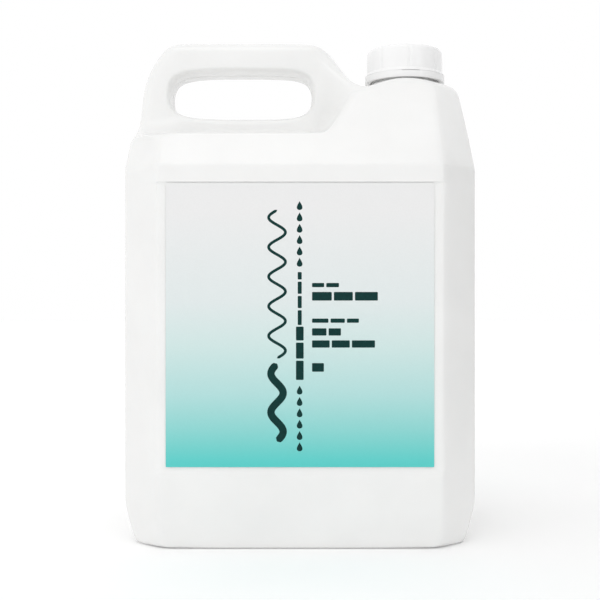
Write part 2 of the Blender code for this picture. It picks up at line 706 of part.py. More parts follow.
def main():
    clear_scene()
    parts = new_collection("shampoo_bottle")
    helpers = new_collection("cutters")
    make_bottle(parts, helpers)
    make_cap(parts, helpers)
    make_band(parts)
    make_liner(parts)
    make_label("front_label", -1, parts, (0.55, 0.85, 0.83))
    make_label("back_label", 1, parts, (0.8, 0.92, 0.9))


main()
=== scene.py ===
"""Finished surfaces for a five-litre shampoo bottle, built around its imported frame.

The bottle is blown polyethylene with a printed film label on its front and its back. The cap and
its tamper band are moulded polypropylene, and the wad inside the cap is foam. Everything here is
modelled in millimetres and scaled to metres as it becomes a mesh: +Z is up, the front label faces
-Y, the handle is on the -X side and the neck on the +X side.
"""

import math

import bmesh
import bpy
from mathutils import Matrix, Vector


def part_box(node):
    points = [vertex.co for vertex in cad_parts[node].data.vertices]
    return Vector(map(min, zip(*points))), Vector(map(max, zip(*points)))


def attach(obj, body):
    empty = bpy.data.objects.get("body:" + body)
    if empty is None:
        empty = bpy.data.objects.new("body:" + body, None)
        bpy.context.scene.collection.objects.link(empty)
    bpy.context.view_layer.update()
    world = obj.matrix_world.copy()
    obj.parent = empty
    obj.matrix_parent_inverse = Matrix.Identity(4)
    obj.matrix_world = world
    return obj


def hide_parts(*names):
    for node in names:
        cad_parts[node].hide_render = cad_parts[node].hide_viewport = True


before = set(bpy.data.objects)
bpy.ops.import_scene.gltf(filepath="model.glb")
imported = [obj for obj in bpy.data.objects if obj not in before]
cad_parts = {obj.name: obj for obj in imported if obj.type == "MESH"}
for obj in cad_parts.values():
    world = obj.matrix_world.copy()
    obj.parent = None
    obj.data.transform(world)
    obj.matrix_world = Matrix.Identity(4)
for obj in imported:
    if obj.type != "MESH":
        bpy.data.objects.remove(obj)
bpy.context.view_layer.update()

MM = 0.001


def node_box(name):
    """A frame node's lowest and highest corners, in millimetres."""
    low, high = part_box(name)
    return low / MM, high / MM


BODY_HIGH = node_box("bottle_body")[1]
CAP_LOW, CAP_HIGH = node_box("screw_cap")
BAND_LOW = node_box("tamper_band")[0]
LINER_LOW, LINER_HIGH = node_box("cap_liner")
LABEL_LOW, LABEL_HIGH = node_box("front_label")
BACK_LOW, BACK_HIGH = node_box("back_label")

# Bottle: outer sizes
HALF_WIDTH = 95.2
HALF_DEPTH = BODY_HIGH.y
SHOULDER = 201.7  # height where the front breaks back into the shoulder
LEDGE = 220.5  # height of the ledge in front of the handle
TOWER_TOP = 256.6  # flat top that carries the neck
TOWER_DEPTH = 28.0  # half depth of the tower at its top
TAPER_TOP = 21.0  # below this the sides draw in towards the base
SIDE_TAPER = 0.29  # how far the sides draw in for each millimetre down
FRONT_TAPER = 0.085  # the same for the front
SIDE_LEAN = 5.6  # how far the sides lean in between the shoulder and the tower's top
LEAN_POWER = 1.2  # over 1, so that the lean starts gently
CHAMFER_EDGE = 75.0  # where the upright corners are cut off the front
PANEL_BOTTOM = 42.0
PANEL_TOP = 193.0
PANEL_STEP = 0.6  # height of the crisp step above the label
LOWER_STEP = 2.2  # height of the softer step below it
PANEL_DEPTH = 0.8  # how deep the label's panel is sunk
WALL = 1.2
SEAM_HALF = 0.7  # half width of the raised parting line
SEAM_RISE = 0.22
UNDER_EDGE = 0.9  # height of the ring that rounds the lower edge
OVER_EDGE = TOWER_TOP - 4.2  # and of the one that rounds the tower's upper edge
OVER_INSET = 1.0  # how far that ring stands in from the side
BASE_RISE = 2.0  # how far the middle of the base is hollowed
BASE_SPREAD = 1.45  # the base's rings fan out by this on their way to the parting line

# Bottle: handle
HANDLE_HALF = 15.0
HANDLE_TOP = BODY_HIGH.z - 0.9
HOLE_LEFT = -74.5
HOLE_RIGHT = 7.0
HOLE_BOTTOM = 235.5
HOLE_TOP = 262.6
HOLE_RADIUS = (HOLE_TOP - HOLE_BOTTOM) / 2  # of the hole's round ends
HOLE_MIDDLE = HOLE_BOTTOM + HOLE_RADIUS
LEFT_LIP = 3.4
TOP_LIP = 2.6
RIGHT_LIP = 3.0
# Smoothing draws a ring inside its cage. These shares of the radius put it back on the round end.
END_CORNER = 0.88
END_BULGE = 1.06
GRIP_END = 0.62  # how far over the round ends the grip's flat face reaches
# The lip's section: (share of the way in to the parting line, share of the depth).
LIP_SECTION = ((0.35, 0.985), (0.65, 0.92), (0.87, 0.78), (0.98, 0.55), (1, 0.27))
GRIP_DROP = 8  # depth of the quarter round along the grip's upper edge

# Neck, cap and band
NECK_X = (CAP_LOW.x + CAP_HIGH.x) / 2
NECK_TOP = LINER_LOW.z - 0.3
NECK_RADIUS = 18.0
BORE_RADIUS = 15.9
BEAD_RADIUS = 20.1  # the bead holds the tamper band down
CAP_RADIUS = 22.15
CAP_INSIDE = CAP_RADIUS - 1.75
HEM_RADIUS = (CAP_HIGH.x - CAP_LOW.x) / 2
THREAD_PITCH = 4.2
THREAD_TURNS = 1.4
THREAD_SINK = 0.3  # how deep a ridge's root stands in its wall
FACETS = 8
FACET_TURN = math.radians(-88)
FLAT_DEPTH = 0.32  # how far a facet's middle stands in from the round
GROOVE_DEPTH = 0.42
GROOVE_WIDTH = 0.75
ROUND_STEPS = 256  # points round the cap and the band


def to_mesh(bm, name):
    mesh = bpy.data.meshes.new(name)
    bm.to_mesh(mesh)
    bm.free()
    return mesh


def helper(name, data):
    """An object in the scene. One that only shapes another is removed once it has done so."""
    obj = bpy.data.objects.new(name, data)
    bpy.context.scene.collection.objects.link(obj)
    return obj


def new_piece(name, mesh, material, body, slot, *replaced):
    """A finished piece that rides on this body and is drawn in place of these nodes."""
    mesh.materials.clear()
    mesh.materials.append(material)
    piece = helper(name, mesh)
    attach(piece, body)
    if replaced:
        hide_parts(*replaced)


# ---------------------------------------------------------------- the bottle's outer skin
# A cage of one half, at y <= 0, which is mirrored and subdivided. Points are (x, depth, z), where
# depth is the distance in front of the parting plane. The grid covers the front, the rim's rings
# run from its edge round to the parting line, and the lip's rings do so inside the handle's hole.

COLUMNS = [-71.0, -63.1, -51.7, -33.8, -10.9, 3.7, 12.5, 16.5, 49.9, 60.3, 71.0]
FRONT_ROWS = [
    (6.0, 0),
    (17.0, 0),
    (TAPER_TOP, 0),
    (25.0, 0),
    (PANEL_BOTTOM - LOWER_STEP, 0),
    (PANEL_BOTTOM, PANEL_DEPTH),
    (PANEL_TOP - PANEL_STEP, PANEL_DEPTH),
    (PANEL_TOP, 0),
    (SHOULDER - 2.6, 0),
    (SHOULDER, 0),
    (SHOULDER + 2.6, 0),
    (LEDGE - 2.0, 0),
]
TOWER_HEIGHTS = [223.4, 229.5, 235.5, 241.5, 247.5, 252.8]
# (x, z) of the tower's left edge, the flank, which ends lower, in the valley beside the cap
FLANK_PLACES = [
    (16.7, 223.4),
    (20.3, 229.5),
    (23.9, 235.5),
    (27.4, 241.5),
    (31.0, 247.5),
    (34.2, 245.4),
]

# Where things lie in the grid
SUNK_ROWS = (5, 6)
PANEL_ROWS = range(4, 8)
LEDGE_ROW = len(FRONT_ROWS)
TOWER_ROW = LEDGE_ROW + len(TOWER_HEIGHTS) - 1
HOLE_ROWS = (15, 17)
GRIP_ROW = 18
HOLE_COLUMNS = (2, 3, 4)
SCOOP = 6
FLANK = 7
LAST = len(COLUMNS) - 1
FLANK_CREASE = 0.62
LEDGE_CREASE = 0.5


def front_depth(z):
    if z < TAPER_TOP:
        return HALF_DEPTH - FRONT_TAPER * (TAPER_TOP - z)
    if z <= SHOULDER:
        return HALF_DEPTH
    share = (z - SHOULDER) / (TOWER_TOP - SHOULDER)
    return HALF_DEPTH + share * (TOWER_DEPTH - HALF_DEPTH)


def side_reach(z):
    if z < TAPER_TOP:
        return HALF_WIDTH - SIDE_TAPER * (TAPER_TOP - z)
    if z <= SHOULDER:
        return HALF_WIDTH
    return HALF_WIDTH - SIDE_LEAN * ((z - SHOULDER) / (TOWER_TOP - SHOULDER)) ** LEAN_POWER


def front_grid():
    grid = {}
    for column, x in enumerate(COLUMNS):
        for row, (z, recess) in enumerate(FRONT_ROWS):
            grid[column, row] = (x, front_depth(z) - recess, z)
    add_tower(grid)
    add_ledge(grid)
    add_handle(grid)
    return grid


def add_tower(grid):
    """The shoulder's plane runs on up the tower. Its left edge, the flank, is in column FLANK."""
    for row, (z, (x, flank_z)) in enumerate(zip(TOWER_HEIGHTS, FLANK_PLACES), start=LEDGE_ROW):
        for column in range(FLANK + 1, LAST + 1):
            grid[column, row] = (COLUMNS[column], front_depth(z), z)
        grid[FLANK, row] = (x, front_depth(flank_z), flank_z)


def add_ledge(grid):
    """The ledge's front edge, its back, and the hollow foot of the handle's wall."""
    edge, back, foot = range(LEDGE_ROW, LEDGE_ROW + 3)
    for column in range(1, SCOOP):
        x = COLUMNS[column]
        grid[column, edge] = (x, front_depth(LEDGE), LEDGE)
        grid[column, back] = (x, HANDLE_HALF + 23, LEDGE + 0.9)
        grid[column, foot] = (x, HANDLE_HALF + 8.5, LEDGE + 5)
    grid[SCOOP, edge] = (13.3, front_depth(LEDGE), LEDGE)
    grid[SCOOP, back] = (12.5, 38, LEDGE + 1.4)
    grid[SCOOP, foot] = (11.0, 24, LEDGE + 6)
    grid[0, edge] = (-74, front_depth(LEDGE), LEDGE)
    grid[0, back] = (-82, HANDLE_HALF + 18, LEDGE + 1.2)
    grid[0, foot] = (-87, HANDLE_HALF + 5, LEDGE + 6)


def hole_end(side):
    """(centre of the hole's round end, its lip) on the left (-1) or the right (1)."""
    if side < 0:
        return HOLE_LEFT + HOLE_RADIUS, LEFT_LIP
    return HOLE_RIGHT - HOLE_RADIUS, RIGHT_LIP


def add_handle(grid):
    """The lip's outer edge around the hole, the grip above it, and the handle's outer edge."""
    grip = HANDLE_TOP - 7.0
    low, high = HOLE_ROWS
    for column in HOLE_COLUMNS:
        grid[column, low] = (COLUMNS[column], HANDLE_HALF, HOLE_BOTTOM - 4)
        grid[column, high] = (COLUMNS[column], HANDLE_HALF, HOLE_TOP + TOP_LIP)
        grid[column, GRIP_ROW] = (COLUMNS[column], HANDLE_HALF, grip)
    for column, side in ((1, -1), (5, 1)):
        centre, lip = hole_end(side)
        end = HOLE_RADIUS + lip
        corner = centre + side * END_CORNER * end
        top = HOLE_MIDDLE + END_CORNER * (HOLE_RADIUS + TOP_LIP)
        grid[column, low] = (corner, HANDLE_HALF, HOLE_MIDDLE - END_CORNER * end)
        grid[column, low + 1] = (centre + side * END_BULGE * end, HANDLE_HALF, HOLE_MIDDLE)
        grid[column, high] = (corner, HANDLE_HALF, top)
        grid[column, GRIP_ROW] = (centre + side * GRIP_END * end, HANDLE_HALF, grip)
    grid[SCOOP, low] = (11.5, 17.5, 236)
    grid[SCOOP, low + 1] = (13.8, 17.2, 246)
    grid[SCOOP, high] = (15.5, 16.2, 258.0)
    grid[SCOOP, GRIP_ROW] = (10.5, 14.2, 271.0)
    grid[FLANK, GRIP_ROW] = (20.5, 14.6, 262.5)
    grid[0, low] = (-86.6, 14.4, 236)
    grid[0, low + 1] = (-85.2, 14.4, 249)
    grid[0, high] = (-81.5, 14.4, 262)
    grid[0, GRIP_ROW] = (-74.5, 14.2, 272.6)


def rolled(start, edge, drop):
    """Over a quarter round of this drop in depth, then straight on to the parting line."""
    x, depth, z = start
    ring = []
    for step in range(1, 6):
        angle = math.radians(18 * step)
        across = math.sin(angle)
        down = 1 - math.cos(angle)
        place = (x + across * (edge[0] - x), z + across * (edge[1] - z))
        ring.append((place[0], depth - down * drop, place[1]))
    for share in (2 / 3, 1 / 3):
        ring.append((edge[0], share * (depth - drop), edge[1]))
    return ring


def corner_ring(side, z, depth, reach, near_front, near_side, flat, share=0.62):
    """Round an upright corner: the front's end, the chamfer, and the side to the parting line.

    near_front and near_side are points measured from the chamfer's two edges, and flat is how far
    behind the second edge the side's flat begins.
    """
    back = depth - (reach - CHAMFER_EDGE)
    ring = [(CHAMFER_EDGE + x, depth + y) for x, y in near_front]
    ring += [(reach + x, back + y) for x, y in near_side]
    ring += [(reach, part * (back - flat)) for part in (1, share, 0.3)]
    return [(side * x, y, z) for x, y in ring]


def chamfered(side, z, recess):
    near_front = [(-0.4 * recess, -recess), (2.6, -2.6)]
    near_side = [(-2.6, 2.6), (0, 0)]
    return corner_ring(side, z, front_depth(z), side_reach(z), near_front, near_side, 3.6)


def under_corner(side):
    """Along the rounded lower edge of the chamfer and the side."""
    z = UNDER_EDGE
    near_front = [(-0.6, -0.6), (2.0, -2.8)]
    near_side = [(-2.8, 2.4), (-0.2, -0.2)]
    return corner_ring(side, z, front_depth(z), side_reach(z), near_front, near_side, 4)


def over_corner():
    """Along the rounded upper edge of the tower's chamfer and side."""
    z = OVER_EDGE
    depth = front_depth(z) - 0.6
    reach = side_reach(z) - OVER_INSET
    near_front = [(-0.6, -0.4), (2.2, -2.8)]
    near_side = [(-2.6, 2.2), (-0.4, -0.4)]
    return corner_ring(1, z, depth, reach, near_front, near_side, 3, share=0.6)


def level_ring(places, z):
    return [(x, y, z) for x, y in places]


def base_ring(x, seam_x, raised):
    """Under the front's lower edge and in across the base, which is hollowed in its middle."""
    depth = front_depth(0)
    ring = [(x, depth - 0.4, 2.6), (x, depth - 1.2, 0.6), (x, depth - 3.0, 0)]
    for share, height in ((0.84, 0), (0.76, 0), (0.70, raised), (0.35, raised)):
        place = seam_x + (x - seam_x) * share
        ring.append((place, share * depth, height))
    return ring


def rim_rings(grid):
    """[(grid key, its ring's points, where it meets the parting line)] round the grid's edge.

    They run anticlockwise as seen from the front: the base, the right side, the top, the left side.
    """
    rings = []
    foot_y = front_depth(0) - 3.0
    base_foot = [(69.5, foot_y), (76, foot_y - 3), (86.6, 49.5), (88.8, 44), (89, 27), (89, 13)]
    left_foot = [(-x, y) for x, y in base_foot]
    rings.append(((0, 0), under_corner(-1), (-side_reach(UNDER_EDGE), UNDER_EDGE)))
    start = [(-65, foot_y + 2.0, UNDER_EDGE)]
    rings.append(((1, 0), start + level_ring(left_foot, 0), (-89, 0)))
    for column in range(2, LAST - 1):
        x = COLUMNS[column]
        seam_x = BASE_SPREAD * x
        raised = 0 if column in (2, LAST - 2) else BASE_RISE
        rings.append(((column, 0), base_ring(x, seam_x, raised), (seam_x, raised)))
    start = [(65, foot_y + 2.0, UNDER_EDGE)]
    rings.append(((LAST - 1, 0), start + level_ring(base_foot, 0), (89, 0)))
    rings.append(((LAST, 0), under_corner(1), (side_reach(UNDER_EDGE), UNDER_EDGE)))
    for row in range(1, TOWER_ROW):
        z = grid[LAST, row][2]
        recess = PANEL_DEPTH if row in SUNK_ROWS else 0
        rings.append(((LAST, row), chamfered(1, z, recess), (side_reach(z), z)))
    rings += top_rings(grid)
    for row in range(LEDGE_ROW - 1, 0, -1):
        z = grid[0, row][2]
        recess = PANEL_DEPTH if row in SUNK_ROWS else 0
        rings.append(((0, row), chamfered(-1, z, recess), (-side_reach(z), z)))
    return rings


def top_rings(grid):
    """The same, over the tower, the valley beside the cap, the grip and the handle's left end."""
    rings = []
    edge = side_reach(OVER_EDGE) - OVER_INSET
    rings.append(((LAST, TOWER_ROW), over_corner(), (edge, OVER_EDGE)))
    crown = [(69, 24.2), (77.5, 15), (81, 11), (82.6, 7), (83.1, 4.4), (83.2, 2.4)]
    ring = [(63.5, TOWER_DEPTH + 0.3, TOWER_TOP - 0.7)] + level_ring(crown, TOWER_TOP)
    rings.append(((LAST - 1, TOWER_ROW), ring, (83.2, TOWER_TOP)))
    middle = [(49.4, 25), (48, 20), (46, 15), (44, 10), (42.5, 6), (41.5, 3)]
    ring = [(49.8, TOWER_DEPTH + 0.3, TOWER_TOP - 0.8)] + level_ring(middle, TOWER_TOP - 0.3)
    rings.append(((LAST - 2, TOWER_ROW), ring, (41, TOWER_TOP - 0.4)))
    saddle = [(34.2, 32.5, 246.6), (34.0, 28, 247.4), (33.9, 22, 248.2), (33.8, 16, 248.9)]
    saddle += [(33.7, 10.5, 249.4), (33.6, 6.5, 249.7), (33.6, 3, 249.9)]
    rings.append(((FLANK, TOWER_ROW), saddle, (33.6, 250.0)))
    for key, seam, drop in (
        ((FLANK, GRIP_ROW), (24.0, 264.0), GRIP_DROP),
        ((SCOOP, GRIP_ROW), (14.0, HANDLE_TOP - 1.2), GRIP_DROP),
        ((5, GRIP_ROW), (3.0, HANDLE_TOP), GRIP_DROP),
        ((4, GRIP_ROW), (-11, HANDLE_TOP), GRIP_DROP),
        ((3, GRIP_ROW), (-34, HANDLE_TOP), GRIP_DROP),
        ((2, GRIP_ROW), (-52, HANDLE_TOP), GRIP_DROP),
        ((1, GRIP_ROW), (-73.5, HANDLE_TOP + 0.3), GRIP_DROP),
        ((0, GRIP_ROW), (-79.2, HANDLE_TOP - 3.4), GRIP_DROP),
        ((0, HOLE_ROWS[1]), (-88.4, 262.0), GRIP_DROP),
        ((0, HOLE_ROWS[0] + 1), (-91.5, 249.0), GRIP_DROP),
        ((0, HOLE_ROWS[0]), (-92.2, 236.0), GRIP_DROP),
        ((0, LEDGE_ROW + 2), (-93.3, 228.0), GRIP_DROP + 0.5),
        ((0, LEDGE_ROW + 1), (-93.7, 223.0), 12),
        ((0, LEDGE_ROW), (-93.9, 219.5), 24),
    ):
        rings.append((key, rolled(grid[key], seam, drop), seam))
    return rings


def lip_rings(grid):
    """[(grid key, its ring's points, where it meets the parting line)] round the hole."""
    low, high = HOLE_ROWS
    rise = END_CORNER * HOLE_RADIUS
    bulge = END_BULGE * HOLE_RADIUS
    right = hole_end(1)[0]
    left = hole_end(-1)[0]
    edges = [((column, low), (COLUMNS[column], HOLE_BOTTOM)) for column in HOLE_COLUMNS]
    edges.append(((5, low), (right + rise, HOLE_MIDDLE - rise)))
    edges.append(((5, low + 1), (right + bulge, HOLE_MIDDLE)))
    edges.append(((5, high), (right + rise, HOLE_MIDDLE + rise)))
    edges += [((column, high), (COLUMNS[column], HOLE_TOP)) for column in HOLE_COLUMNS[::-1]]
    edges.append(((1, high), (left - rise, HOLE_MIDDLE + rise)))
    edges.append(((1, low + 1), (left - bulge, HOLE_MIDDLE)))
    edges.append(((1, low), (left - rise, HOLE_MIDDLE - rise)))
    rings = []
    for key, edge in edges:
        x, depth, z = grid[key]
        places = []
        for across, share in LIP_SECTION:
            place = (x + across * (edge[0] - x), z + across * (edge[1] - z))
            places.append((place[0], share * depth, place[1]))
        rings.append((key, places, edge))
    return rings


def outward(before, after, inward=False):
    """Unit normal, in the parting plane, of a loop that runs anticlockwise past two points."""
    along = Vector((after[0] - before[0], after[1] - before[1])).normalized()
    normal = Vector((along.y, -along.x))
    return -normal if inward else normal


def add_ring(bm, first, places, edge, normal, rise):
    """The ring's points, then the foot and the crest of the parting line's ridge."""
    ring = [first]
    for x, depth, z in places:
        ring.append(bm.verts.new(Vector((x, -depth, z)) * MM))
    ring.append(bm.verts.new(Vector((edge[0], -SEAM_HALF, edge[1])) * MM))
    crest = Vector((edge[0] + rise * normal.x, 0, edge[1] + rise * normal.y))
    ring.append(bm.verts.new(crest * MM))
    return ring


def build_rings(bm, corner, plan, inward=False):
    """The rings of a plan, joined into a loop. The parting line's ridge stops at the base."""
    edges = [edge for _, _, edge in plan]
    rings = []
    for index, (key, places, edge) in enumerate(plan):
        normal = outward(edges[index - 1], edges[(index + 1) % len(edges)], inward)
        rise = SEAM_RISE if edge[1] > BASE_RISE else 0
        rings.append(add_ring(bm, corner[key], places, edge, normal, rise))
    for here, there in zip(rings, rings[1:] + rings[:1]):
        for step in range(len(here) - 1):
            bm.faces.new((here[step], there[step], there[step + 1], here[step + 1]))
    return rings


def outer_skin():
    bm = bmesh.new()
    crease = bm.edges.layers.float.new("crease_edge")
    grid = front_grid()
    corner = {key: bm.verts.new(Vector((x, -y, z)) * MM) for key, (x, y, z) in grid.items()}
    for column in range(LAST):
        for row in range(GRIP_ROW):
            keys = ((column, row), (column + 1, row), (column + 1, row + 1), (column, row + 1))
            in_hole = 1 <= column < 5 and HOLE_ROWS[0] <= row < HOLE_ROWS[1]
            if all(key in corner for key in keys) and not in_hole:
                bm.faces.new([corner[key] for key in keys])
    rim_plan = rim_rings(grid)
    rim = build_rings(bm, corner, rim_plan)
    lip = build_rings(bm, corner, lip_rings(grid), inward=True)

    def sharpen(first, second, amount=1.0):
        bm.edges.get((first, second))[crease] = amount

    # The panel's steps, and their ends on the chamfers
    for row in PANEL_ROWS:
        for column in range(LAST):
            sharpen(corner[column, row], corner[column + 1, row])
    for (key, _, _), ring in zip(rim_plan, rim):
        if key[0] in (0, LAST) and key[1] in PANEL_ROWS:
            sharpen(ring[0], ring[1])
            sharpen(ring[1], ring[2])
    for row in range(LEDGE_ROW, TOWER_ROW):
        sharpen(corner[FLANK, row], corner[FLANK, row + 1], FLANK_CREASE)
    for column in range(FLANK):
        sharpen(corner[column, LEDGE_ROW], corner[column + 1, LEDGE_ROW], LEDGE_CREASE)
    # The parting line's crest and foot
    for rings in (rim, lip):
        for here, there in zip(rings, rings[1:] + rings[:1]):
            sharpen(here[-1], there[-1])
            sharpen(here[-2], there[-2])
    # The flat that the bottle stands on begins at the fourth point of each ring under the base
    start = 3
    foot = [ring for ring in rim if ring[start + 1].co.z == 0]
    for here, there in zip(foot, foot[1:]):
        sharpen(here[start], there[start])
    for ring in (foot[0], foot[-1]):
        for step in range(start, len(ring) - 1):
            sharpen(ring[step], ring[step + 1])

    bmesh.ops.recalc_face_normals(bm, faces=bm.faces)
    front = min(bm.faces, key=lambda face: face.calc_center_median().y)
    if front.normal.y > 0:
        bmesh.ops.reverse_faces(bm, faces=bm.faces)
    return to_mesh(bm, "bottle_cage")


def smooth_to(mesh, sharp_angle):
    mesh.shade_smooth()
    mesh.set_sharp_from_angle(angle=math.radians(sharp_angle))


def baked(obj, name, sharp_angle, tools):
    """The object's mesh with its modifiers applied, smooth up to this angle. The tools then go."""
    bpy.context.view_layer.update()
    graph = bpy.context.evaluated_depsgraph_get()
    mesh = bpy.data.meshes.new_from_object(obj.evaluated_get(graph))
    mesh.name = name
    smooth_to(mesh, sharp_angle)
    for used in (obj, *tools):
        bpy.data.objects.remove(used, do_unlink=True)
    return mesh


def boolean(obj, operation, other):
    modifier = obj.modifiers.new(operation.lower(), "BOOLEAN")
    modifier.operation = operation
    modifier.solver = "MANIFOLD"
    modifier.object = other


# ---------------------------------------------------------------- turned shapes and threads


def rounded_profile(corners, steps=4):
    """[(radius, height, rounding)] with each corner that has a rounding replaced by a small arc."""
    profile = []
    count = len(corners)
    for index, (radius, height, rounding) in enumerate(corners):
        here = Vector((radius, height))
        if rounding == 0:
            profile.append(here)
            continue
        before = Vector(corners[index - 1][:2])
        after = Vector(corners[(index + 1) % count][:2])
        start = here + (before - here).normalized() * rounding
        end = here + (after - here).normalized() * rounding
        for step in range(steps + 1):
            share = step / steps
            profile.append(start.lerp(here, share).lerp(here.lerp(end, share), share))
    return profile


def add_round(bm, steps, reach, height):
    """A ring about the neck's axis, whose radius and height are functions of the angle."""
    ring = []
    for step in range(steps):
        angle = 2 * math.pi * step / steps
        out = reach(angle)
        place = (NECK_X + out * math.cos(angle), out * math.sin(angle), height(angle))
        ring.append(bm.verts.new(Vector(place) * MM))
    return ring


def add_centre(bm, steps, height):
    """A ring on the axis, which is one point counted this many times."""
    return [bm.verts.new(Vector((NECK_X, 0, height)) * MM)] * steps


def lathe(name, corners, steps=128):
    """A closed profile turned about the neck's axis."""
    profile = rounded_profile(corners)
    bm = bmesh.new()
    rings = []
    for radius, height in profile:
        if radius == 0:
            rings.append(add_centre(bm, steps, height))
        else:
            rings.append(add_round(bm, steps, lambda angle: radius, lambda angle: height))
    skin_rings(bm, rings, closed=profile[0].x > 0)
    return finished_round(bm, name)


def skin_rings(bm, rings, closed):
    count = len(rings[0])
    pairs = list(zip(rings, rings[1:]))
    if closed:
        pairs.append((rings[-1], rings[0]))
    for upper, lower in pairs:
        for step in range(count):
            after = (step + 1) % count
            corners = [upper[step], lower[step], lower[after], upper[after]]
            kept = [corner for index, corner in enumerate(corners) if corner not in corners[:index]]
            if len(kept) > 2:
                bm.faces.new(kept)


def finished_round(bm, name):
    bmesh.ops.recalc_face_normals(bm, faces=bm.faces)
    mesh = to_mesh(bm, name)
    smooth_to(mesh, 40)
    return mesh


def thread_ridge(name, radius, base, reach, start_z, steps=72):
    """A right-handed ridge: a rounded trapezium that sinks into its wall at both ends.

    radius is the wall's, base the ridge's half height at its root, and reach how far the crest
    stands out from the wall, or inwards if negative.
    """
    bm = bmesh.new()
    count = round(THREAD_TURNS * steps)
    fade = steps // 6
    sections = []
    for index in range(count + 1):
        turn = index / steps
        angle = 2 * math.pi * turn
        grown = min(1, min(index, count - index) / fade)
        grown = math.sin(0.5 * math.pi * grown)
        height = start_z + THREAD_PITCH * turn
        sink = math.copysign(THREAD_SINK, reach)
        root = radius - sink
        crest = root + (reach + sink) * max(grown, 0.12)
        shoulder = root + 0.8 * (crest - root)
        outline = [
            (root, -base),
            (shoulder, -0.5 * base),
            (crest, -0.22 * base),
            (crest, 0.22 * base),
            (shoulder, 0.5 * base),
            (root, base),
        ]
        section = []
        for out, up in outline:
            place = (NECK_X + out * math.cos(angle), out * math.sin(angle), height + up)
            section.append(bm.verts.new(Vector(place) * MM))
        sections.append(section)
    for here, there in zip(sections, sections[1:]):
        for step in range(len(here)):
            after = (step + 1) % len(here)
            bm.faces.new((here[step], there[step], there[after], here[after]))
    bm.faces.new(sections[0])
    bm.faces.new(sections[-1])
    bmesh.ops.recalc_face_normals(bm, faces=bm.faces)
    return to_mesh(bm, name)


def make_bottle():
    skin = helper("bottle_skin", outer_skin())
    mirror = skin.modifiers.new("other_half", "MIRROR")
    mirror.use_axis = (False, True, False)
    mirror.merge_threshold = 0.01 * MM
    smooth = skin.modifiers.new("blown_form", "SUBSURF")
    smooth.levels = 3
    smooth.render_levels = 3
    shell = skin.modifiers.new("wall", "SOLIDIFY")
    shell.thickness = WALL * MM
    shell.offset = -1
    shell.use_even_offset = True
    bead = TOWER_TOP + 3.2
    neck = helper("neck", lathe("neck", [
        (BORE_RADIUS, NECK_TOP, 0.6),
        (NECK_RADIUS, NECK_TOP, 0.7),
        (NECK_RADIUS, bead + 1.7, 0.5),
        (BEAD_RADIUS, bead + 1.1, 0.4),
        (BEAD_RADIUS, bead, 0.15),
        (19.2, bead, 0.3),
        (19.2, TOWER_TOP + 0.9, 0.5),
        (20.6, TOWER_TOP - 0.4, 0.3),
        (19.6, TOWER_TOP - 2.6, 0),
        (BORE_RADIUS, TOWER_TOP - 2.6, 0),
    ]))
    ridge_z = TOWER_TOP + 8.4
    ridge = helper("neck_thread", thread_ridge("neck_thread", NECK_RADIUS, 1.3, 1.2, ridge_z))
    # The bore opens the blown shell below the neck, a hair wider than the neck's own bore.
    drill = BORE_RADIUS + 0.02
    upper = TOWER_TOP + 6
    lower = TOWER_TOP - 9
    bore = helper("bore", lathe("bore", [
        (0, upper, 0),
        (drill, upper, 0),
        (drill, lower, 0),
        (0, lower, 0),
    ]))
    boolean(skin, "UNION", neck)
    boolean(skin, "UNION", ridge)
    boolean(skin, "DIFFERENCE", bore)
    mesh = baked(skin, "blown_bottle", 42, (neck, ridge, bore))
    new_piece("blown_bottle", mesh, blown_hdpe(), "bottle", "bottle_plastic", "bottle_body")


# ---------------------------------------------------------------- cap, band and liner


def cap_outline(angle, radius, amount):
    """The cap's radius at this angle: eight shallow facets that meet in soft grooves."""
    half = math.pi / FACETS
    nearest = round((angle - FACET_TURN) / (2 * half))
    off = angle - FACET_TURN - nearest * 2 * half
    groove = math.exp(-((off * radius / GROOVE_WIDTH) ** 2))
    flat = 1 - (abs(off) - half) ** 2 / half**2
    return radius - amount * (GROOVE_DEPTH * groove + FLAT_DEPTH * flat)


